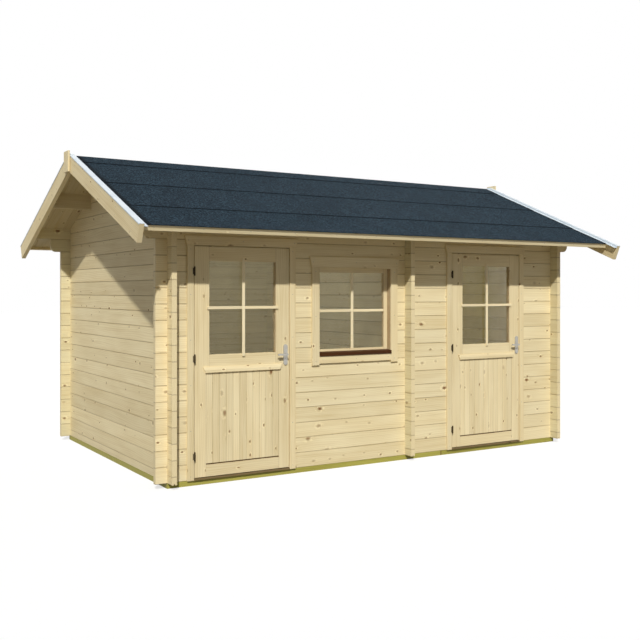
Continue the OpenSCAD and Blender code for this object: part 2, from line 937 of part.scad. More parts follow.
// Outer and inner lock plate with a keyhole
module door_lock_plates() {
    plate_mid = spindle_z - lever_up;
    reach = plate_h / 2 - plate_r;
    color(steel_pale)
        for (y = [leaf_y - plate_t - seat, leaf_back + seat])
            difference() {
                along_y(y, y + plate_t)
                    translate([lock_at, plate_mid]) {
                        square([2 * plate_r, 2 * reach], center = true);
                        for (end = [-reach, reach]) translate([0, end]) circle(r = plate_r);
                    }
                along_y(y - over, y + plate_t + over) {
                    translate([lock_at, spindle_z]) circle(r = neck_r + neck_gap);
                    translate([lock_at, plate_mid - reach / 2]) circle(r = plate_r / 5);
                }
            }
}

// Two levers on one spindle, pointing to the hinge side
module door_lever() {
    near = leaf_y - plate_t - lever_out;
    far = leaf_back + plate_t + lever_out;
    color(steel_pale)
        translate([lock_at, 0, spindle_z]) {
            along_y(near - lever_t, far + lever_t) circle(r = spindle_r);
            for (y = [near - lever_t, far])
                along_y(y, y + lever_t) {
                    circle(r = neck_r);
                    translate([-lever_len + lever_tip_r, 0]) circle(r = lever_tip_r);
                    translate([-lever_len + lever_tip_r, -lever_tip_r])
                        square([lever_len - lever_tip_r, 2 * lever_tip_r]);
                }
            along_y(near, leaf_y) circle(r = neck_r);
            along_y(leaf_back, far) circle(r = neck_r);
        }
}

module door_thresholds() {
    for (d = [left_door_at, right_door_at]) at_door(d) door_threshold();
}

foundation_beams();
floor_joists();
left_room_floor();
right_room_floor();
front_wall_left();
front_wall_middle();
front_wall_right();
front_top_logs();
back_wall();
back_top_logs();
left_wall();
partition_wall();
right_wall();
ridge_purlin();
side_purlins();
front_roof_boards();
back_roof_boards();
front_felt();
back_felt();
ridge_strip();
left_barge_boards();
right_barge_boards();
finial_boards();
eave_fascias();
verge_trims();
window_frame();
window_casing();
window_sill();
window_sash();
window_glass();
door_thresholds();
at_door(left_door_at) door_frame();  // left_door_frame
at_door(left_door_at) door_casing();  // left_door_casing
at_door(left_door_at) door_leaf();  // left_door_leaf
at_door(left_door_at) door_panel();  // left_door_panel
at_door(left_door_at) door_glass();  // left_door_glass
at_door(left_door_at) door_weather_bar();  // left_door_weather_bar
at_door(left_door_at) door_hinge_pins();  // left_door_hinge_pins
at_door(left_door_at) door_hinge_knuckles();  // left_door_hinge_knuckles
at_door(left_door_at) door_lock_plates();  // left_door_lock_plates
at_door(left_door_at) door_lever();  // left_door_lever
at_door(right_door_at) door_frame();  // right_door_frame
at_door(right_door_at) door_casing();  // right_door_casing
at_door(right_door_at) door_leaf();  // right_door_leaf
at_door(right_door_at) door_panel();  // right_door_panel
at_door(right_door_at) door_glass();  // right_door_glass
at_door(right_door_at) door_weather_bar();  // right_door_weather_bar
at_door(right_door_at) door_hinge_pins();  // right_door_hinge_pins
at_door(right_door_at) door_hinge_knuckles();  // right_door_hinge_knuckles
at_door(right_door_at) door_lock_plates();  // right_door_lock_plates
at_door(right_door_at) door_lever();  // right_door_lever
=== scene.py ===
import random
from math import cos, pi, radians, sin, tan

import bmesh
import bpy
from mathutils import Matrix, Vector


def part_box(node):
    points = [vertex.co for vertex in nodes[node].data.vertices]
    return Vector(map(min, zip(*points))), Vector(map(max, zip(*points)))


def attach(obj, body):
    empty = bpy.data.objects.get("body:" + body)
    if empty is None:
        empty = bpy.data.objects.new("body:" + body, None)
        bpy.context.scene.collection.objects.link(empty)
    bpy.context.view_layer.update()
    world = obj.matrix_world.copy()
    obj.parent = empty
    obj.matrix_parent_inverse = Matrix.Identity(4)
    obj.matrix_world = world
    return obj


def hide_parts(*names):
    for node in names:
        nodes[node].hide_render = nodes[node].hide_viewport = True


# The summer house, dressed: timber, felt, glass and metal finishes on the frame,
# and the boards, glazing bars, nails and small fittings that the frame leaves out.
# Lengths are in metres.

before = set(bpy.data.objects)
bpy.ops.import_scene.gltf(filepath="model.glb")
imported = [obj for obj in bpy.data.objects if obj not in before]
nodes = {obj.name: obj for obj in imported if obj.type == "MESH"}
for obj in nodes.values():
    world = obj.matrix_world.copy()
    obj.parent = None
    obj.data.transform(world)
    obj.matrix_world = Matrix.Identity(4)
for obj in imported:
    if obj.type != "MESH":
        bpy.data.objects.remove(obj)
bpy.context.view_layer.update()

X_AXIS = Vector((1.0, 0.0, 0.0))
Y_AXIS = Vector((0.0, 1.0, 0.0))
Z_AXIS = Vector((0.0, 0.0, 1.0))

DOORS = ("left_door", "right_door")
FRONT_LOGS = ("front_wall_left", "front_wall_middle", "front_wall_right", "front_top_logs")
BACK_LOGS = ("back_wall", "back_top_logs")
SIDE_LOGS = ("left_wall", "partition_wall", "right_wall")
CASINGS = ("window_casing", "left_door_casing", "right_door_casing")

# Sizes of the frame that the finishes and the fitted pieces follow

COURSE = 0.135
PITCH = radians(22.3)
BEAM_JOINT_X = 0.665
ROOF_BOARD_T = 0.019
FASCIA_H = 0.046
FELT_LAPS = (0.220, 0.875, 1.530)
STILE_AT_GLASS = 0.135
STILE_AT_PANEL = 0.103
GLASS_BOTTOM = 1.031
TOP_RAIL = 0.122
PANEL_TOP = 0.880
PANEL_FOOT_GAP = 0.012
PANEL_BOARDS = 11
BOTTOM_RAIL = 0.099
FRAME_MEMBER = 0.034
SASH_W = 0.042
SASH_FOOT = 0.020
SILL_RISE = 0.038

# Sizes of the pieces made here: SEAT is the gap that keeps a fitted piece off what carries it

SEAT = 0.0003
BOARD_GAP = 0.0004
BOARD_EDGE = 0.0015
CASING_EDGE = 0.0022
FLOOR_EDGE = 0.001
GROOVE_EDGE = 0.003
ROOF_BOARD_W = 0.095
FLOOR_BOARD_W = 0.092
HEADER_CUT = 0.018
BAR_W = 0.025
BAR_T = 0.013
BAR_LAP = 0.022
BAR_EDGE = 0.002
HINGE_PLATE_FAR = 0.018
HINGE_PLATE_NEAR = 0.0115
HINGE_PLATE_T = 0.003
HINGE_PLATE_H = 0.054
HINGE_PLATE_EDGE = 0.0008
KEY_RISE = 0.056
KEY_SLOT_HALF = Vector((0.0011, 0.0004, 0.0042))
KEY_SLOT_EDGE = 0.0002
LOCK_SCREW_INSET = 0.012
NAIL_STEP = 0.42
NAIL_INSET = 0.035
BARGE_NAIL_DEPTHS = (0.050, 0.112)
BARGE_NAIL_START = 0.24
BARGE_NAIL_END = 0.16
FINIAL_NAIL_TOP = 0.07
FASCIA_NAIL_INSET = 0.1

# Round heads, as radius and height

NAIL_HEAD = (0.0032, 0.0009)
PLATE_SCREW = (0.003, 0.0012)
LOCK_SCREW = (0.0038, 0.0014)
LOCK_BARREL = (0.0085, 0.0030)
HEAD_SIDES = 12
HEAD_TAPER = 0.7
BARREL_TAPER = 0.9

BEAM_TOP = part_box("foundation_beams")[1].z
RIDGE_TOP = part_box("front_roof_boards")[1].z + SEAT * tan(PITCH)


def slope(side):
    """Directions of a roof slope, -1 in front and 1 behind: down it, and square to it."""
    down = Vector((0.0, side * cos(PITCH), -sin(PITCH)))
    normal = Vector((0.0, side * sin(PITCH), cos(PITCH)))
    return down, normal


def side_of(low, high, axis):
    """-1 for a box in front or to the left of the middle of the house, 1 for one behind or right."""
    return -1.0 if low[axis] + high[axis] < 0.0 else 1.0


def colour(red, green, blue):
    """A screen colour of 0 to 255 as the linear colour that a shader takes."""
    linear = []
    for value in (red, green, blue):
        part = value / 255.0
        linear.append(part / 12.92 if part <= 0.04045 else ((part + 0.055) / 1.055) ** 2.4)
    return (*linear, 1.0)


# Node helpers

MIX_COLOURS = (0, 6, 7)
MIX_RESULT = 2


class Graph:
    """Adds nodes to one tree. An input takes a plain value, or a socket that is linked to it."""

    def __init__(self, tree):
        self.tree = tree

    def add(self, kind, inputs=(), **settings):
        node = self.tree.nodes.new("ShaderNode" + kind)
        for key, value in settings.items():
            setattr(node, key, value)
        for key, value in dict(inputs).items():
            self.feed(node.inputs[key], value)
        return node

    def feed(self, socket, value):
        if isinstance(value, bpy.types.NodeSocket):
            self.tree.links.new(value, socket)
        else:
            socket.default_value = value

    def math(self, operation, *values, clamp=False):
        node = self.add("Math", enumerate(values), operation=operation, use_clamp=clamp)
        return node.outputs[0]

    def total(self, start, parts):
        """A start and each value times its share, added up and kept between 0 and 1."""
        for value, share in parts:
            start = self.math("MULTIPLY_ADD", value, share, start)
        return self.math("ADD", start, 0.0, clamp=True)

    def vector(self, operation, *values):
        node = self.add("VectorMath", enumerate(values), operation=operation)
        return node.outputs["Value" if operation in ("DOT_PRODUCT", "LENGTH") else "Vector"]

    def split(self, vector):
        node = self.add("SeparateXYZ", {"Vector": vector})
        return node.outputs["X"], node.outputs["Y"], node.outputs["Z"]

    def join(self, x, y, z=0.0):
        return self.add("CombineXYZ", {"X": x, "Y": y, "Z": z}).outputs["Vector"]

    def span(self, value, low, high, to_low=0.0, to_high=1.0):
        """Maps a value between two limits smoothly to another pair of limits."""
        inputs = {"Value": value, "From Min": low, "From Max": high, "To Min": to_low, "To Max": to_high}
        return self.add("MapRange", inputs, interpolation_type="SMOOTHSTEP").outputs["Result"]

    def blend(self, factor, first, second):
        """A colour that goes from the first to the second as the factor goes from 0 to 1."""
        inputs = zip(MIX_COLOURS, (factor, first, second))
        return self.add("Mix", inputs, data_type="RGBA").outputs[MIX_RESULT]

    def shade(self, tint, light):
        """A colour made lighter or darker by one factor."""
        return self.vector("MULTIPLY", tint, self.join(light, light, light))

    def noise(self, place, scale, detail=2.0):
        inputs = {"Vector": place, "Scale": scale, "Detail": detail}
        return self.add("TexNoise", inputs).outputs["Fac"]

    def stretched_noise(self, place, scales, scale=1.0, detail=2.0):
        """Noise with a scale of its own in each direction."""
        return self.noise(self.vector("MULTIPLY", place, scales), scale, detail)

    def shades(self, value):
        """Three even random numbers that stay the same for one value."""
        node = self.add("TexWhiteNoise", {"W": value}, noise_dimensions="1D")
        return self.channels(node.outputs["Color"])

    def channels(self, tint):
        node = self.add("SeparateColor", {"Color": tint})
        return node.outputs[0], node.outputs[1], node.outputs[2]

    def bump(self, height, strength, distance):
        inputs = {"Height": height, "Strength": strength, "Distance": distance}
        return self.add("Bump", inputs).outputs["Normal"]


def node_group(name, inputs, outputs):
    """A shader group with these sockets, as (tree, graph, sockets in, sockets out)."""
    tree = bpy.data.node_groups.new(name, "ShaderNodeTree")
    for label, kind in inputs:
        tree.interface.new_socket(label, in_out="INPUT", socket_type="NodeSocket" + kind)
    for label, kind in outputs:
        tree.interface.new_socket(label, in_out="OUTPUT", socket_type="NodeSocket" + kind)
    start = tree.nodes.new("NodeGroupInput")
    end = tree.nodes.new("NodeGroupOutput")
    return tree, Graph(tree), start.outputs, end.inputs


def new_finish(name, roughness, specular=0.5, metallic=0.0):
    """A material with its graph and its Principled shader."""
    material = bpy.data.materials.new(name)
    material.use_nodes = True
    shader = material.node_tree.nodes["Principled BSDF"]
    shader.inputs["Roughness"].default_value = roughness
    shader.inputs["Specular IOR Level"].default_value = specular
    shader.inputs["Metallic"].default_value = metallic
    return material, Graph(material.node_tree), shader


# Timber: scales are per metre, along the grain and across it

WOOD_SOCKETS = (("Place", "Vector"), ("Board", "Float"), ("Pale", "Color"), ("Warm", "Color"),
                ("Knot", "Color"), ("Knots", "Float"))
WOOD_RESULTS = (("Color", "Color"), ("Relief", "Float"))
BOARD_SHIFT = (41.0, 23.0)
KNOT_CELLS = (5.0, 8.0, 1.0)
KNOT_RADIUS = (0.064, 0.052)
KNOT_DEPTH = (0.75, 0.25)
SWAY_SCALES = (0.75, 5.0, 1.0)
FIBRE_SCALES = (6.0, 420.0, 1.0)
CLOUD_SCALES = (1.6, 7.0, 1.0)
STREAK_SCALES = (1.1, 34.0, 1.0)
GROWTH_LINES = 62.0
END_RINGS = 260.0
FULL_TURN = 2.0 * pi


def knot_masks(g, place, share):
    """Dark core, whole knot, bent grain round it and the pale gleam beside it."""
    spread = g.vector("MULTIPLY", place, KNOT_CELLS)
    cells = g.add("TexVoronoi", {"Vector": spread, "Scale": 1.0}, voronoi_dimensions="2D")
    size, chance, dark = g.channels(cells.outputs["Color"])
    radius = g.math("MULTIPLY_ADD", g.math("POWER", size, 3.0), *KNOT_RADIUS)
    depth = g.math("MULTIPLY_ADD", g.math("POWER", dark, 1.5), *KNOT_DEPTH)
    depth = g.math("MULTIPLY", g.math("LESS_THAN", chance, share), depth)
    ragged = g.math("MULTIPLY_ADD", g.noise(place, 55.0), 1.3, -0.65)
    reach = g.math("ADD", g.math("DIVIDE", cells.outputs["Distance"], radius), ragged)

    core = g.span(reach, 0.95, 0.45)
    knot = g.span(reach, 1.45, 0.90)
    halo = g.math("EXPONENT", g.math("MULTIPLY", g.math("POWER", reach, 2.0), -0.14))
    ring_of_light = g.math("MULTIPLY", g.span(reach, 1.0, 1.5), g.span(reach, 3.2, 1.7))
    one_side = g.span(g.noise(place, 26.0), 0.44, 0.56)
    gleam = g.math("MULTIPLY", ring_of_light, one_side)
    return [g.math("MULTIPLY", mask, depth) for mask in (core, knot, halo, gleam)]


def make_long_grain():
    """Sawn face of a softwood board: growth lines that bend round knots, and fine fibres.

    Place is (along the grain, across it, 0), Board a number that each board has to itself, and
    Knots the share of the places for a knot that hold one.
    """
    tree, g, given, out = node_group("long_grain", WOOD_SOCKETS, WOOD_RESULTS)
    tone, shift, warmth = g.shades(given["Board"])
    start = g.join(g.math("MULTIPLY", tone, BOARD_SHIFT[0]), g.math("MULTIPLY", shift, BOARD_SHIFT[1]))
    place = g.vector("ADD", given["Place"], start)
    core, knot, halo, gleam = knot_masks(g, place, given["Knots"])

    across = g.split(place)[1]
    sway = g.math("MULTIPLY", g.stretched_noise(place, SWAY_SCALES), 7.0)
    lines = g.math("MULTIPLY_ADD", across, GROWTH_LINES, sway)
    lines = g.math("MULTIPLY_ADD", halo, 1.3, lines)
    wave = g.math("SINE", g.math("MULTIPLY", lines, FULL_TURN))
    ring = g.math("POWER", g.math("MULTIPLY_ADD", wave, 0.5, 0.5), 2.5)
    fibre = g.stretched_noise(place, FIBRE_SCALES)
    cloud = g.span(g.stretched_noise(place, CLOUD_SCALES), 0.3, 0.7)
    streak = g.span(g.stretched_noise(place, STREAK_SCALES), 0.42, 0.72)

    warm = g.total(-0.20, ((ring, 0.28), (cloud, 0.30), (streak, 0.26), (warmth, 0.26), (fibre, 0.22),
                           (gleam, -0.45), (halo, 0.40)))
    tint = g.blend(warm, given["Pale"], given["Warm"])
    tint = g.blend(g.total(0.0, ((core, 0.45), (knot, 0.55))), tint, given["Knot"])
    light = g.math("MULTIPLY_ADD", gleam, 0.13, g.math("MULTIPLY_ADD", tone, 0.12, 0.94))
    g.feed(out["Color"], g.shade(tint, light))
    relief = g.math("MULTIPLY_ADD", ring, -0.35, fibre)
    g.feed(out["Relief"], g.math("MULTIPLY_ADD", knot, -0.5, relief))
    return tree


def make_end_grain():
    """Cross-cut end of a board: rings round a heart that lies beside the board.

    Place is the spot on the end in metres.
    """
    tree, g, given, out = node_group("end_grain", WOOD_SOCKETS, WOOD_RESULTS)
    tone, left, up = g.shades(given["Board"])
    heart = g.join(g.math("MULTIPLY_ADD", left, 0.16, -0.08), g.math("MULTIPLY", up, 0.12))
    spread = g.vector("SUBTRACT", given["Place"], heart)
    wobble = g.math("MULTIPLY", g.noise(given["Place"], 28.0), 1.6)
    turns = g.math("MULTIPLY_ADD", g.vector("LENGTH", spread), END_RINGS, wobble)
    wave = g.math("SINE", g.math("MULTIPLY", turns, FULL_TURN))
    ring = g.math("MULTIPLY_ADD", wave, 0.5, 0.5)
    pores = g.noise(given["Place"], 900.0)
    warm = g.total(0.05, ((ring, 0.45), (pores, 0.4)))
    tint = g.blend(warm, given["Pale"], given["Warm"])
    g.feed(out["Color"], g.shade(tint, g.math("MULTIPLY_ADD", tone, 0.10, 0.95)))
    g.feed(out["Relief"], g.math("MULTIPLY_ADD", ring, 0.4, pores))
    return tree


long_grain = make_long_grain()
end_grain = make_end_grain()

# Tones of each timber: pale, warm and knot

LOG_TONES = (colour(240, 225, 183), colour(214, 192, 142), colour(116, 72, 34))
# A darker copy of the log tones: painted shade for the back, right and partition walls, which get less
# light than the front
SHADED_LOG_TONES = (colour(223, 213, 174), colour(199, 181, 135), colour(108, 68, 34))
TRIM_TONES = (colour(237, 221, 179), colour(212, 190, 141), colour(122, 78, 38))
# A darker copy of the trim tones: painted shade for the roof boards and purlins, which are seen only from
# below, in the shade of the roof
SHADED_ROOF_TONES = (colour(206, 190, 150), colour(184, 164, 118), colour(100, 64, 34))
BAR_TONES = (colour(244, 230, 192), colour(224, 204, 158), colour(112, 74, 40))
TREATED_TONES = (colour(178, 171, 84), colour(140, 131, 56), colour(80, 68, 30))
THRESHOLD_TONES = (colour(134, 114, 74), colour(98, 80, 50), colour(54, 38, 24))
SILL_TONES = (colour(80, 46, 20), colour(54, 30, 12), colour(34, 18, 8))
SEAM_SHADE = colour(108, 80, 42)
GAP_SHADE = colour(92, 64, 30)

# Share of the places for a knot that hold one

LOG_KNOTS = 0.50
SIDE_LOG_KNOTS = 0.30
RAIL_KNOTS = 0.42
FRAME_KNOTS = 0.45
BOARD_KNOTS = 0.40
PANEL_KNOTS = 0.75

# Dark lines where boards meet, as half width and strength, and how such a line fades

LOG_SEAM = (0.005, 0.36)
PANEL_SEAM = (0.003, 0.30)
BEAM_SEAM = (0.007, 0.85)
FRAME_JOINT = (0.0007, 0.55)
SEAM_FADE = (1.3, 0.5)

TIMBER_ROUGHNESS = 0.65
TIMBER_GLOSS = 0.3
SILL_GLOSS = 0.12

# How far a face turns towards the grain to be a cut end, how rails of a frame are numbered,
# and the bands and starts of the grain on a UV map

CUT_END = 0.7
RAILS_PER_METRE = 2.0
RAIL_NUMBERS = 3.0
BOARD_BAND = 10.0
GRAIN_STARTS = 30.0

# Number of the first board in each group of timbers, so that no two boards share their grain

FIRST_LONG_LOG = 100.0
FIRST_SIDE_LOG = 500.0
LOGS_A_WALL = 40.0
FIRST_PURLIN = 700.0
FIRST_BARGE = 720.0
BARGES_A_GABLE = 5.0
FIRST_FASCIA = 740.0
FIRST_BEAM = 750.0
FIRST_THRESHOLD = 760.0
FIRST_SILL = 770.0
FIRST_FRAME = 800.0
FIRST_LEAF = 900.0
FIRST_PANEL = 950.0
BOARDS_A_FRAME = 20.0
FIRST_WEATHER_BAR = 990.0

# Steps that tell boards apart: more than one board's length, its start before the piece, and purlins

LONE_BOARD = 5.0
LONE_START = 1.0
PURLIN_ZONE = 0.6

# Seeds of the first piece of each kind of boards

PLAIN_SEED = 11
ROOF_SEED = 21
FLOOR_SEED = 31
DOOR_BAR_SEED = 41
WINDOW_BAR_SEED = 43


def grain(g, tree, place, board, tones, knots=0.0):
    """Places a grain group; gives its colour and its relief."""
    pale, warm, knot = tones
    inputs = {"Place": place, "Board": board, "Pale": pale, "Warm": warm, "Knot": knot, "Knots": knots}
    node = g.add("Group", inputs, node_tree=tree)
    return node.outputs["Color"], node.outputs["Relief"]


def finish_timber(g, shader, tint, relief):
    """Feeds colour, roughness and fine relief of sawn and planed timber."""
    g.feed(shader.inputs["Base Color"], tint)
    g.feed(shader.inputs["Roughness"], g.span(relief, -0.2, 0.8, 0.74, 0.56))
    g.feed(shader.inputs["Normal"], g.bump(relief, 0.35, 0.0006))


def solid_timber(name, tones, along, across, apart, number, knots=RAIL_KNOTS, mirrored=False,
                 seam=None, gap=None, specular=TIMBER_GLOSS, end_tones=None):
    """Timber for a frame piece whose grain runs one way.

    The boards are told apart by their step in one direction, such as log courses upwards: apart
    is that direction, where the first board starts and how far it is to the next. A mirrored
    piece repeats behind the ridge and at the other gable. A seam is the dark line where two
    boards meet. A gap is a shaded groove, as its lowest and highest point.
    """
    material, g, shader = new_finish(name, TIMBER_ROUGHNESS, specular)
    direction, start, step = apart
    where = g.add("TexCoord")
    spot, facing = where.outputs["Object"], where.outputs["Normal"]
    rise = g.math("SUBTRACT", g.vector("DOT_PRODUCT", spot, direction), start)
    board = g.math("ADD", g.math("FLOOR", g.math("DIVIDE", rise, step)), number)
    part = g.math("FLOORED_MODULO", rise, step)
    if mirrored:
        spot, facing = g.vector("ABSOLUTE", spot), g.vector("ABSOLUTE", facing)
    face = g.join(g.vector("DOT_PRODUCT", spot, along), g.vector("DOT_PRODUCT", spot, across))
    tint, relief = grain(g, long_grain, face, board, tones, knots)

    end_place = g.join(g.vector("DOT_PRODUCT", spot, along.cross(across)), part)
    end_tint, end_relief = grain(g, end_grain, end_place, board, end_tones or tones)
    turned = g.math("ABSOLUTE", g.vector("DOT_PRODUCT", facing, along))
    is_end = g.math("GREATER_THAN", turned, CUT_END)
    tint = g.blend(is_end, tint, end_tint)
    relief = g.math("MULTIPLY_ADD", is_end, g.math("SUBTRACT", end_relief, relief), relief)
    if seam:
        half, strength = seam
        edge = g.math("MINIMUM", part, g.math("SUBTRACT", step, part))
        line = g.span(edge, SEAM_FADE[0] * half, SEAM_FADE[1] * half, 0.0, strength)
        tint = g.blend(line, tint, SEAM_SHADE)
    if gap:
        height = g.split(spot)[2]
        above = g.math("GREATER_THAN", height, gap[0])
        below = g.math("LESS_THAN", height, gap[1])
        tint = g.blend(g.math("MULTIPLY", above, below), tint, GAP_SHADE)
    finish_timber(g, shader, tint, relief)
    return material


def log_timber(name, number, tones, crossing=False):
    """Wall logs: courses stacked upwards, half a course lower in the crossing walls."""
    along = Y_AXIS if crossing else X_AXIS
    across = Z_AXIS + (X_AXIS if crossing else Y_AXIS)
    apart = (Z_AXIS, BEAM_TOP - COURSE / 2 if crossing else BEAM_TOP, COURSE)
    knots = SIDE_LOG_KNOTS if crossing else LOG_KNOTS
    return solid_timber(name, tones, along, across, apart, number, knots, seam=LOG_SEAM,
                        end_tones=LOG_TONES)


def rail_timber(name, tones, number, apart=(X_AXIS, 0.0, LONE_BOARD), **more):
    """Timber for a piece that lies along the house."""
    return solid_timber(name, tones, X_AXIS, Z_AXIS + Y_AXIS, apart, number, **more)


def framed_timber(name, centre, half, number, notch=None):
    """Timber for a frame of uprights and rails: uprights lie further than half from the centre.

    A notch is a height, and the half that holds below it. A fine dark line marks each joint.
    """
    material, g, shader = new_finish(name, TIMBER_ROUGHNESS, TIMBER_GLOSS)
    x, y, z = g.split(g.add("TexCoord").outputs["Object"])
    offset = g.math("SUBTRACT", x, centre)
    inner = half
    if notch:
        below = g.math("LESS_THAN", z, notch[0])
        inner = g.math("MULTIPLY_ADD", below, notch[1] - half, half)
    past = g.math("SUBTRACT", g.math("ABSOLUTE", offset), inner)
    upright = g.math("GREATER_THAN", past, 0.0)
    along = g.math("MULTIPLY_ADD", upright, g.math("SUBTRACT", z, x), x)
    across = g.math("SUBTRACT", g.math("ADD", g.math("ADD", x, y), z), along)
    side = g.math("MULTIPLY", g.math("SIGN", offset), upright)
    level = g.math("FLOOR", g.math("MULTIPLY", z, RAILS_PER_METRE))
    level = g.math("MULTIPLY", level, g.math("SUBTRACT", 1.0, upright))
    board = g.math("ADD", g.math("MULTIPLY_ADD", level, RAIL_NUMBERS, side), number)
    tint, relief = grain(g, long_grain, g.join(along, across), board, TRIM_TONES, FRAME_KNOTS)
    joint = g.math("LESS_THAN", g.math("ABSOLUTE", past), FRAME_JOINT[0])
    tint = g.blend(g.math("MULTIPLY", joint, FRAME_JOINT[1]), tint, TRIM_TONES[2])
    finish_timber(g, shader, tint, g.math("SUBTRACT", relief, joint))
    return material


def board_timber(name, tones, tree):
    """Timber for the boards made here, whose UV map holds the grain: see Boards."""
    material, g, shader = new_finish(name, TIMBER_ROUGHNESS, TIMBER_GLOSS)
    u, v, _ = g.split(g.add("UVMap", uv_map="grain").outputs["UV"])
    board = g.math("FLOOR", g.math("DIVIDE", v, BOARD_BAND))
    across = g.math("FLOORED_MODULO", v, BOARD_BAND)
    place = g.join(u, g.math("SUBTRACT", across, BOARD_BAND / 2))
    tint, relief = grain(g, tree, place, board, tones, BOARD_KNOTS)
    finish_timber(g, shader, tint, relief)
    return material


def board_timbers(name, tones):
    """Timber for the faces and for the cut ends of one kind of board."""
    return board_timber(name, tones, long_grain), board_timber(name + "_ends", tones, end_grain)


# Other finishes

FELT_DARK = colour(11, 19, 25)
FELT_PALE = colour(40, 58, 69)
FELT_SPECK = colour(55, 74, 87)
FELT_BLOTCH = colour(20, 30, 38)
FELT_PATCH = colour(14, 20, 27)
FELT_LINE = colour(9, 13, 17)
GRANULES = 420.0
PATCH_SCALES = (3.0, 1.2, 1.2)
VERGE_FADE = (0.055, 0.025)
LAP_FADE = (0.012, 0.004)
LAP_SHADOW = 0.004
BRUSH_SCALES = (40.0, 900.0, 2500.0)
GLASS_CLEAN = colour(228, 232, 228)
GLASS_DUSTY = colour(205, 208, 200)
GLASS_IOR = 1.45
GLASS_ALPHA = 0.42


def felt_finish(name):
    """Mineral felt: dark slate granules, with a dark line under each lap and along the verges."""
    material, g, shader = new_finish(name, 0.9, 0.06)
    spot = g.add("TexCoord").outputs["Object"]
    grit = g.add("TexVoronoi", {"Vector": spot, "Scale": GRANULES})
    flake = g.channels(grit.outputs["Color"])[0]
    patch = g.stretched_noise(spot, PATCH_SCALES, 1.5, 4.0)
    speck = g.noise(spot, 60.0, 3.0)
    blotch = g.noise(spot, 34.0, 3.0)

    low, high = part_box("front_felt")
    x = g.split(spot)[0]
    verge = g.math("MINIMUM", g.math("SUBTRACT", x, low.x), g.math("SUBTRACT", high.x, x))
    line = g.span(verge, *VERGE_FADE)
    from_ridge = g.vector("SUBTRACT", g.vector("ABSOLUTE", spot), (0.0, 0.0, RIDGE_TOP))
    fall = g.vector("DOT_PRODUCT", from_ridge, slope(1.0)[0])
    for lap in FELT_LAPS:
        away = g.math("ABSOLUTE", g.math("SUBTRACT", fall, lap + LAP_SHADOW))
        line = g.math("MAXIMUM", g.span(away, *LAP_FADE), line)

    tint = g.blend(g.span(flake, 0.25, 1.0), FELT_DARK, FELT_PALE)
    layers = ((g.span(speck, 0.46, 0.60), 0.72, FELT_SPECK),
              (g.span(blotch, 0.56, 0.42), 0.45, FELT_BLOTCH),
              (g.span(patch, 0.60, 0.32), 0.22, FELT_PATCH),
              (line, 0.85, FELT_LINE))
    for mask, strength, shade in layers:
        tint = g.blend(g.math("MULTIPLY", mask, strength), tint, shade)
    g.feed(shader.inputs["Base Color"], tint)
    g.feed(shader.inputs["Roughness"], g.span(flake, 0.0, 1.0, 0.95, 0.72))
    g.feed(shader.inputs["Normal"], g.bump(g.math("ADD", flake, speck), 0.6, 0.0015))
    return material


def painted_finish(name, light, dark, roughness, specular=0.5):
    """Paint on sheet metal: almost even, with faint handling marks."""
    material, g, shader = new_finish(name, roughness, specular)
    spot = g.add("TexCoord").outputs["Object"]
    cloud = g.noise(spot, 9.0, 4.0)
    orange_peel = g.noise(spot, 900.0, 2.0)
    g.feed(shader.inputs["Base Color"], g.blend(g.span(cloud, 0.35, 0.75), light, dark))
    g.feed(shader.inputs["Roughness"], g.span(cloud, 0.2, 0.8, roughness - 0.08, roughness + 0.12))
    g.feed(shader.inputs["Normal"], g.bump(orange_peel, 0.12, 0.0004))
    return material


def brushed_metal(name, light, dark, roughness):
    """Bare metal with a brushed lengthwise texture."""
    material, g, shader = new_finish(name, roughness, 0.5, 0.9)
    spot = g.add("TexCoord").outputs["Object"]
    lines = g.stretched_noise(spot, BRUSH_SCALES)
    cloud = g.noise(spot, 35.0, 3.0)
    tint = g.blend(g.total(0.0, ((lines, 0.6), (cloud, 0.4))), light, dark)
    g.feed(shader.inputs["Base Color"], tint)
    g.feed(shader.inputs["Roughness"], g.span(lines, 0.2, 0.8, roughness - 0.1, roughness + 0.12))
    g.feed(shader.inputs["Normal"], g.bump(lines, 0.15, 0.0002))
    return material


def glass_finish(name):
    """Clear float glass, a little dusty."""
    material, g, shader = new_finish(name, 0.02)
    dust = g.noise(g.add("TexCoord").outputs["Object"], 6.0, 5.0)
    g.feed(shader.inputs["Base Color"], g.blend(g.span(dust, 0.4, 0.8), GLASS_CLEAN, GLASS_DUSTY))
    g.feed(shader.inputs["Roughness"], g.span(dust, 0.45, 0.85, 0.01, 0.06))
    shader.inputs["Transmission Weight"].default_value = 1.0
    shader.inputs["IOR"].default_value = GLASS_IOR
    shader.inputs["Alpha"].default_value = GLASS_ALPHA
    return material


trim_boards = board_timbers("planed_spruce", TRIM_TONES)
roof_boards = board_timbers("roof_spruce", SHADED_ROOF_TONES)
bar_boards = board_timbers("pale_spruce", BAR_TONES)
felt = felt_finish("mineral_felt")
glass = glass_finish("window_pane")
white_paint = painted_finish("white_trim", colour(214, 222, 227), colour(202, 212, 219), 0.4)
dark_paint = painted_finish("black_hinge", colour(62, 49, 30), colour(48, 38, 24), 0.6, 0.1)
silver = brushed_metal("satin_lever", colour(200, 197, 188), colour(160, 156, 148), 0.45)
zinc = brushed_metal("zinc_nail", colour(178, 178, 174), colour(128, 128, 124), 0.5)

# Finishes of the frame pieces whose shapes stay as they are


def set_finish(node, material):
    """Gives a frame piece one material."""
    slots = nodes[node].material_slots
    if not slots:
        nodes[node].data.materials.append(material)
    for slot in slots:
        slot.material = material


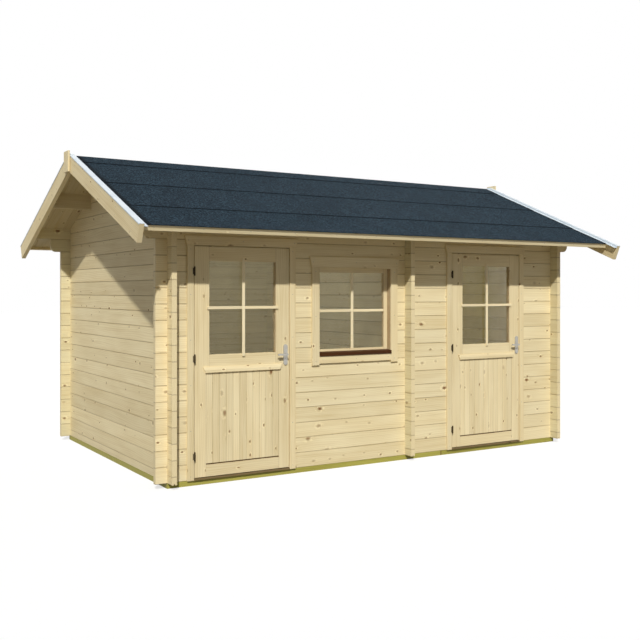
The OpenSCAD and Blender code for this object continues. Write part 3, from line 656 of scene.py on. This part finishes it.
def finish_walls():
    # The back, right and partition logs take the darker tones, which paint shade onto them; the front and
    # left logs take the plain ones
    for i, node in enumerate(FRONT_LOGS + BACK_LOGS):
        tones = SHADED_LOG_TONES if node in BACK_LOGS else LOG_TONES
        set_finish(node, log_timber(node + "_logs", FIRST_LONG_LOG + LOGS_A_WALL * i, tones))
    for i, node in enumerate(SIDE_LOGS):
        tones = LOG_TONES if node == "left_wall" else SHADED_LOG_TONES
        set_finish(node, log_timber(node + "_logs", FIRST_SIDE_LOG + LOGS_A_WALL * i, tones, crossing=True))


def finish_roof():
    purlin = rail_timber("purlin_timber", SHADED_ROOF_TONES, FIRST_PURLIN, (Y_AXIS, -PURLIN_ZONE / 2, PURLIN_ZONE))
    for node in ("ridge_purlin", "side_purlins"):
        set_finish(node, purlin)
    down, normal = slope(1.0)
    for i, node in enumerate(("left_barge_boards", "right_barge_boards")):
        number = FIRST_BARGE + BARGES_A_GABLE * i
        set_finish(node, solid_timber(node + "_timber", TRIM_TONES, down, X_AXIS + normal,
                                      (Y_AXIS, 0.0, LONE_BOARD), number, mirrored=True))
    fascia = rail_timber("fascia_timber", TRIM_TONES, FIRST_FASCIA, (Y_AXIS, 0.0, LONE_BOARD))
    set_finish("eave_fascias", fascia)
    for node in ("front_felt", "back_felt", "ridge_strip"):
        set_finish(node, felt)
    set_finish("verge_trims", white_paint)


def finish_base():
    apart = (X_AXIS, BEAM_JOINT_X, LONE_BOARD)
    treated = rail_timber("treated_timber", TREATED_TONES, FIRST_BEAM, apart, seam=BEAM_SEAM)
    for node in ("foundation_beams", "floor_joists"):
        set_finish(node, treated)
    set_finish("door_thresholds", rail_timber("threshold_timber", THRESHOLD_TONES, FIRST_THRESHOLD))


def finish_openings():
    """The window, and the frames of the doors."""
    set_finish("window_sill", rail_timber("sill_timber", SILL_TONES, FIRST_SILL, specular=SILL_GLOSS))
    set_finish("window_glass", glass)
    for i, node in enumerate(("window_frame", "window_sash", "left_door_frame", "right_door_frame")):
        low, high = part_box(node)
        half = (high.x - low.x) / 2 - (SASH_W if node == "window_sash" else FRAME_MEMBER)
        number = FIRST_FRAME + BOARDS_A_FRAME * i
        set_finish(node, framed_timber(node + "_timber", (low.x + high.x) / 2, half, number))


def finish_doors():
    for i, door in enumerate(DOORS):
        low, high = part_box(door + "_leaf")
        half = (high.x - low.x) / 2
        notch = (low.z + PANEL_TOP, half - STILE_AT_PANEL)
        leaf = framed_timber(door + "_leaf_timber", (low.x + high.x) / 2, half - STILE_AT_GLASS,
                             FIRST_LEAF + BOARDS_A_FRAME * i, notch)
        set_finish(door + "_leaf", leaf)
        board = (high.x - low.x - 2 * STILE_AT_PANEL) / PANEL_BOARDS
        foot = low.z + BOTTOM_RAIL
        panel = solid_timber(door + "_panel_timber", TRIM_TONES, Z_AXIS, X_AXIS + Y_AXIS,
                             (X_AXIS, low.x + STILE_AT_PANEL, board), FIRST_PANEL + BOARDS_A_FRAME * i,
                             PANEL_KNOTS, seam=PANEL_SEAM, gap=(foot, foot + PANEL_FOOT_GAP))
        set_finish(door + "_panel", panel)
        apart = (X_AXIS, low.x - LONE_START, LONE_BOARD)
        weather_bar = rail_timber(door + "_bar_timber", TRIM_TONES, FIRST_WEATHER_BAR + i, apart)
        set_finish(door + "_weather_bar", weather_bar)
        set_finish(door + "_glass", glass)
        for part in ("_hinge_pins", "_hinge_knuckles"):
            set_finish(door + part, dark_paint)
        for part in ("_lock_plates", "_lever"):
            set_finish(door + part, silver)


# Pieces made here


def lay(centre, along, across):
    """Places a board at its centre, its length along one direction and its width across."""
    turn = Matrix((along, across, along.cross(across))).transposed().to_4x4()
    return Matrix.Translation(centre) @ turn


class Boards:
    """Collects bevelled boards into one mesh.

    The UV map holds each board's grain: U runs along it in metres from a random start, and V
    across it, in a band of its own for each board. Cut ends take the second material.
    """

    def __init__(self, seed):
        self.mesh = bmesh.new()
        self.draw = random.Random(seed)
        self.count = 0

    def add(self, size, place, edge=BOARD_EDGE, segments=2, slant=0.0):
        """A board of this size; a slant cuts its ends back towards one edge."""
        board = bmesh.new()
        bmesh.ops.create_cube(board, size=1.0)
        bmesh.ops.scale(board, vec=size, verts=board.verts)
        for end in (-1.0, 1.0):
            corners = [vert for vert in board.verts if vert.co.y < 0.0 and vert.co.x * end > 0.0]
            bmesh.ops.translate(board, vec=(-end * slant, 0.0, 0.0), verts=corners)
        bmesh.ops.bevel(board, geom=board.edges[:], offset=edge, offset_type="OFFSET", affect="EDGES",
                        segments=segments, profile=0.5, material=-1)
        self.map_grain(board)
        bmesh.ops.transform(board, matrix=place, verts=board.verts)
        part = bpy.data.meshes.new("board")
        board.to_mesh(part)
        board.free()
        self.mesh.from_mesh(part)
        bpy.data.meshes.remove(part)

    def map_grain(self, board):
        layer = board.loops.layers.uv.new("grain")
        start = self.draw.uniform(0.0, GRAIN_STARTS)
        band = BOARD_BAND * (self.count + 0.5)
        self.count += 1
        for face in board.faces:
            end = abs(face.normal.x) > CUT_END
            face.material_index = 1 if end else 0
            for loop in face.loops:
                x, y, z = loop.vert.co
                loop[layer].uv = (y, band + z) if end else (start + x, band + y + z)

    def add_box(self, low, high, edge=BOARD_EDGE, slant=0.0):
        """A board that fills a box, with its grain along the longest side."""
        size = high - low
        order = sorted(range(3), key=lambda axis: -size[axis])
        axes = (X_AXIS, Y_AXIS, Z_AXIS)
        sides = [size[axis] for axis in order]
        self.add(sides, lay((low + high) / 2, axes[order[0]], axes[order[1]]), edge, slant=slant)

    def build(self, name, body, materials):
        return build_piece(self.mesh, name, body, materials)


def build_piece(shape, name, body, materials):
    """Turns a bmesh into a piece that rides on a body."""
    mesh = bpy.data.meshes.new(name)
    shape.to_mesh(mesh)
    shape.free()
    for material in materials:
        mesh.materials.append(material)
    piece = bpy.data.objects.new(name, mesh)
    bpy.context.scene.collection.objects.link(piece)
    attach(piece, body)
    return piece


def solid_boxes(node):
    """The lowest and highest corner of each solid of a frame piece."""
    merged = bmesh.new()
    merged.from_mesh(nodes[node].data)
    bmesh.ops.remove_doubles(merged, verts=merged.verts, dist=1e-6)
    left = set(merged.verts)
    boxes = []
    while left:
        island = [left.pop()]
        for vert in island:
            near = {edge.other_vert(vert) for edge in vert.link_edges} & left
            left -= near
            island.extend(near)
        corners = [[vert.co[axis] for vert in island] for axis in range(3)]
        boxes.append((Vector([min(c) for c in corners]), Vector([max(c) for c in corners])))
    merged.free()
    return sorted(boxes, key=lambda box: tuple(round(value, 4) for value in box[0]))


def dress_plain_boards():
    """Casings and finial boards: each solid becomes a board with eased edges.

    The header of a casing, its highest board, has slanted ends.
    """
    for seed, node in enumerate((*CASINGS, "finial_boards"), start=PLAIN_SEED):
        boards = Boards(seed)
        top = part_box(node)[1].z
        for low, high in solid_boxes(node):
            is_header = node in CASINGS and high.z > top - SEAT
            boards.add_box(low, high, CASING_EDGE, HEADER_CUT if is_header else 0.0)
        piece = boards.build(node + "_planed", "root", trim_boards)
        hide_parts(node)


def dress_roof_boards():
    """Roof boards that run down each slope, with chamfered joints."""
    slopes = (("front_roof_boards", -1.0), ("back_roof_boards", 1.0))
    for seed, (node, side) in enumerate(slopes, start=ROOF_SEED):
        low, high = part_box(node)
        mitre = ROOF_BOARD_T * tan(PITCH)
        reach = max(abs(low.y), abs(high.y)) / cos(PITCH) - mitre
        down, normal = slope(side)
        across = normal.cross(down)
        ridge = Z_AXIS * RIDGE_TOP - normal * (ROOF_BOARD_T / 2) + down * mitre
        count = round((high.x - low.x) / ROOF_BOARD_W)
        width = (high.x - low.x) / count
        boards = Boards(seed)
        for i in range(count):
            centre = ridge + down * (reach / 2) + X_AXIS * (low.x + (i + 0.5) * width)
            size = (reach, width - BOARD_GAP, ROOF_BOARD_T)
            boards.add(size, lay(centre, down, across), GROOVE_EDGE, segments=1)
        piece = boards.build(node + "_laid", "root", roof_boards)
        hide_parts(node)


def dress_floors():
    """Floor boards across the joists."""
    for seed, node in enumerate(("left_room_floor", "right_room_floor"), start=FLOOR_SEED):
        low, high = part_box(node)
        count = round((high.y - low.y) / FLOOR_BOARD_W)
        width = (high.y - low.y) / count
        boards = Boards(seed)
        for i in range(count):
            near = Vector((low.x, low.y + i * width, low.z))
            far = Vector((high.x, low.y + (i + 1) * width - BOARD_GAP, high.z))
            boards.add_box(near, far, FLOOR_EDGE)
        piece = boards.build(node + "_laid", "root", trim_boards)
        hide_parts(node)


def glazing_cross(name, body, seed, light, over, front):
    """One upright and one level bar in front of a pane, reaching over the edges of its light."""
    left, right, bottom, top = light
    x, z = (left + right) / 2, (bottom + top) / 2
    half = BAR_W / 2
    bars = ((x - half, x + half, bottom - over, top + over),
            (left - over, x - half - SEAT, z - half, z + half),
            (x + half + SEAT, right + over, z - half, z + half))
    boards = Boards(seed)
    for start, end, foot, head in bars:
        boards.add_box(Vector((start, front, foot)), Vector((end, front + BAR_T, head)), BAR_EDGE)
    boards.build(name, body, bar_boards)


def dress_glazing():
    """Glazing bars: planted on the leaves of the doors, and let into the sash of the window."""
    for seed, door in enumerate(DOORS, start=DOOR_BAR_SEED):
        low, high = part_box(door + "_leaf")
        light = (low.x + STILE_AT_GLASS, high.x - STILE_AT_GLASS, low.z + GLASS_BOTTOM, high.z - TOP_RAIL)
        glazing_cross(door + "_glazing_bars", door, seed, light, BAR_LAP, low.y - SEAT - BAR_T)
    low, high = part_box("window_sash")
    light = (low.x + SASH_W, high.x - SASH_W, low.z + SILL_RISE + SASH_FOOT, high.z - SASH_W)
    glazing_cross("window_glazing_bars", "root", WINDOW_BAR_SEED, light, -SEAT, low.y)


def round_head(shape, centre, outward, radius, height, taper=HEAD_TAPER):
    """Adds the low round head of a nail, a screw or a key barrel."""
    turn = outward.to_track_quat("Z", "Y").to_matrix().to_4x4()
    place = Matrix.Translation(centre + outward * (height / 2)) @ turn
    bmesh.ops.create_cone(shape, cap_ends=True, segments=HEAD_SIDES, radius1=radius, radius2=taper * radius,
                          depth=height, matrix=place)


def plate(shape, low, high, edge):
    """Adds a flat metal plate with eased edges."""
    made = bmesh.ops.create_cube(shape, size=1.0)["verts"]
    bmesh.ops.scale(shape, vec=high - low, verts=made)
    bmesh.ops.translate(shape, vec=(low + high) / 2, verts=made)
    edges = list({found for vert in made for found in vert.link_edges})
    bmesh.ops.bevel(shape, geom=edges, offset=edge, offset_type="OFFSET", affect="EDGES", segments=2,
                    profile=0.5, material=-1)


def dress_hinges():
    """A fixing plate with two screws on the casing beside each hinge barrel."""
    for door in DOORS:
        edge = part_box(door + "_leaf")[0].x
        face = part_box(door + "_casing")[0].y
        plates = bmesh.new()
        for low, high in solid_boxes(door + "_hinge_pins"):
            middle = (low.z + high.z) / 2
            near = Vector((edge - HINGE_PLATE_FAR, face - HINGE_PLATE_T, middle - HINGE_PLATE_H / 2))
            far = Vector((edge - HINGE_PLATE_NEAR, face - SEAT, middle + HINGE_PLATE_H / 2))
            plate(plates, near, far, HINGE_PLATE_EDGE)
            for z in (middle - HINGE_PLATE_H / 3, middle + HINGE_PLATE_H / 3):
                round_head(plates, Vector(((near.x + far.x) / 2, near.y, z)), -Y_AXIS, *PLATE_SCREW)
        build_piece(plates, door + "_hinge_plates", "root", [dark_paint])


def dress_locks():
    """Key barrel with its slot and two screws on each lock plate."""
    for door in DOORS:
        fittings = bmesh.new()
        for low, high in solid_boxes(door + "_lock_plates"):
            outside = low.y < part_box(door + "_leaf")[0].y
            outward = -Y_AXIS if outside else Y_AXIS
            centre = Vector(((low.x + high.x) / 2, low.y if outside else high.y, low.z))
            barrel = centre + Z_AXIS * KEY_RISE
            round_head(fittings, barrel, outward, *LOCK_BARREL, taper=BARREL_TAPER)
            bare = set(fittings.faces)
            slot = barrel + outward * LOCK_BARREL[1]
            plate(fittings, slot - KEY_SLOT_HALF, slot + KEY_SLOT_HALF, KEY_SLOT_EDGE)
            for face in set(fittings.faces) - bare:
                face.material_index = 1
            for z in (LOCK_SCREW_INSET, high.z - low.z - LOCK_SCREW_INSET):
                round_head(fittings, centre + Z_AXIS * z, outward, *LOCK_SCREW)
        build_piece(fittings, door + "_lock_fittings", door, [silver, dark_paint])


def nail_row(shape, start, end, outward):
    """Adds nail heads at even steps between two points."""
    count = max(2, round((end - start).length / NAIL_STEP) + 1)
    for i in range(count):
        round_head(shape, start.lerp(end, i / (count - 1)), outward, *NAIL_HEAD)


def nail_casings(nails):
    """One row along the middle of each casing board."""
    for node in CASINGS:
        for low, high in solid_boxes(node):
            middle = Vector(((low.x + high.x) / 2, low.y, (low.z + high.z) / 2))
            along = Z_AXIS if high.z - low.z > high.x - low.x else X_AXIS
            reach = along * ((high - low).dot(along) / 2 - NAIL_INSET)
            nail_row(nails, middle - reach, middle + reach, -Y_AXIS)


def nail_gables(nails):
    """Two rows down each barge board, and two up each finial board."""
    for node, outward in (("left_barge_boards", -X_AXIS), ("right_barge_boards", X_AXIS)):
        for low, high in solid_boxes(node):
            down, normal = slope(side_of(low, high, 1))
            crest = Vector((low.x if outward.x < 0.0 else high.x, 0.0, high.z))
            reach = max(abs(low.y), abs(high.y)) / cos(PITCH) - BARGE_NAIL_END
            for depth in BARGE_NAIL_DEPTHS:
                row = crest - normal * depth
                nail_row(nails, row + down * BARGE_NAIL_START, row + down * reach, outward)
    for low, high in solid_boxes("finial_boards"):
        side = side_of(low, high, 0)
        face = high.x if side > 0.0 else low.x
        for y in (low.y + NAIL_INSET, high.y - NAIL_INSET):
            foot = Vector((face, y, low.z + NAIL_INSET))
            nail_row(nails, foot, Vector((face, y, high.z - FINIAL_NAIL_TOP)), X_AXIS * side)


def nail_fascias(nails):
    """One row along the middle of each fascia, which is square to the slope."""
    for low, high in solid_boxes("eave_fascias"):
        side = side_of(low, high, 1)
        edge = high.y if side > 0.0 else low.y
        y = edge - side * sin(PITCH) * FASCIA_H / 2
        z = low.z + cos(PITCH) * FASCIA_H / 2
        start = Vector((low.x + FASCIA_NAIL_INSET, y, z))
        nail_row(nails, start, Vector((high.x - FASCIA_NAIL_INSET, y, z)), slope(side)[0])


def dress_nails():
    """Nail heads in the casings, barge boards, finial boards and fascias."""
    nails = bmesh.new()
    nail_casings(nails)
    nail_gables(nails)
    nail_fascias(nails)
    build_piece(nails, "trim_nails", "root", [zinc])


# Stage: a sun has a strength, an angle and the way its light travels, a room lamp a strength and a tint

CAMERA_AT = (-4.970, -8.328, 1.630)
CAMERA_TURN = radians(-31.5)
CAMERA_LENS = 49.6
CAMERA_SHIFT = -0.04375
SUNS = {"sun": (3.40, radians(1.5), Vector((0.388, 0.643, -0.660))),
        "fill": (1.75, radians(12.0), Vector((-0.60, -0.76, -0.24)))}
ROOM_LAMPS = {"left_room": (13.2, (0.93, 1.04, 1.26)), "right_room": (7.5, (1.08, 1.03, 0.48))}
ROOM_LAMP_Z = 1.5
ROOM_LAMP_SIZE = 0.4
SKY_STRENGTH = 0.245
WHITE = (1.0, 1.0, 1.0, 1.0)
FLOOR_DIM = (0.23, 0.22, 0.20, 1.0)
FLOOR_LIT = (0.36, 0.36, 0.36, 1.0)
FLOOR_GLOW = 0.655
FLOOR_HALF = 60.0


def add_camera():
    data = bpy.data.cameras.new("camera")
    data.lens = CAMERA_LENS
    data.shift_y = CAMERA_SHIFT
    camera = bpy.data.objects.new("camera", data)
    camera.location = CAMERA_AT
    camera.rotation_euler = (pi / 2, 0.0, CAMERA_TURN)
    bpy.context.scene.collection.objects.link(camera)
    bpy.context.scene.camera = camera


def seen_directly(g):
    """1 for rays that show the background: camera, mirror and glass rays."""
    path = g.add("LightPath")
    seen = g.math("MAXIMUM", path.outputs["Is Camera Ray"], path.outputs["Is Glossy Ray"])
    return g.math("MAXIMUM", seen, path.outputs["Is Transmission Ray"])


def add_light():
    """Sun from the front left, a soft fill from behind, a little light in each room, and the sky."""
    for name, (strength, angle, travel) in SUNS.items():
        data = bpy.data.lights.new(name, "SUN")
        data.energy = strength
        data.angle = angle
        sun = bpy.data.objects.new(name, data)
        sun.rotation_euler = travel.to_track_quat("-Z", "Y").to_euler()
        bpy.context.scene.collection.objects.link(sun)

    for room, (strength, tint) in ROOM_LAMPS.items():
        low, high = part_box(room + "_floor")
        data = bpy.data.lights.new(room + "_light", "POINT")
        data.energy = strength
        data.color = tint
        data.shadow_soft_size = ROOM_LAMP_SIZE
        lamp = bpy.data.objects.new(room + "_light", data)
        lamp.location = ((low.x + high.x) / 2, (low.y + high.y) / 2, ROOM_LAMP_Z)
        lamp.visible_camera = lamp.visible_glossy = lamp.visible_transmission = False
        bpy.context.scene.collection.objects.link(lamp)

    world = bpy.data.worlds.new("studio")
    world.use_nodes = True
    bpy.context.scene.world = world
    g = Graph(world.node_tree)
    background = world.node_tree.nodes["Background"]
    background.inputs["Color"].default_value = WHITE
    g.feed(background.inputs["Strength"], g.span(seen_directly(g), 0.0, 1.0, SKY_STRENGTH, 1.0))


def add_floor():
    """A pale floor that shows white with a light shadow, and throws little light upwards."""
    material = bpy.data.materials.new("pale_floor")
    material.use_nodes = True
    g = Graph(material.node_tree)
    material.node_tree.nodes.remove(material.node_tree.nodes["Principled BSDF"])
    dim = g.add("BsdfDiffuse", {"Color": FLOOR_DIM}).outputs[0]
    lit = g.add("BsdfDiffuse", {"Color": FLOOR_LIT}).outputs[0]
    glow = g.add("Emission", {"Color": WHITE, "Strength": FLOOR_GLOW}).outputs[0]
    pale = g.add("AddShader", enumerate((lit, glow))).outputs[0]
    mixed = g.add("MixShader", {0: seen_directly(g), 1: dim, 2: pale}).outputs[0]
    g.feed(material.node_tree.nodes["Material Output"].inputs["Surface"], mixed)
    plane = bmesh.new()
    bmesh.ops.create_grid(plane, x_segments=1, y_segments=1, size=FLOOR_HALF)
    mesh = bpy.data.meshes.new("floor")
    plane.to_mesh(mesh)
    plane.free()
    mesh.materials.append(material)
    ground = bpy.data.objects.new("floor", mesh)
    bpy.context.scene.collection.objects.link(ground)


bpy.context.scene.view_settings.view_transform = "Standard"
add_camera()
add_light()
add_floor()
finish_walls()
finish_roof()
finish_base()
finish_openings()
finish_doors()
dress_plain_boards()
dress_roof_boards()
dress_floors()
dress_glazing()
dress_hinges()
dress_locks()
dress_nails()
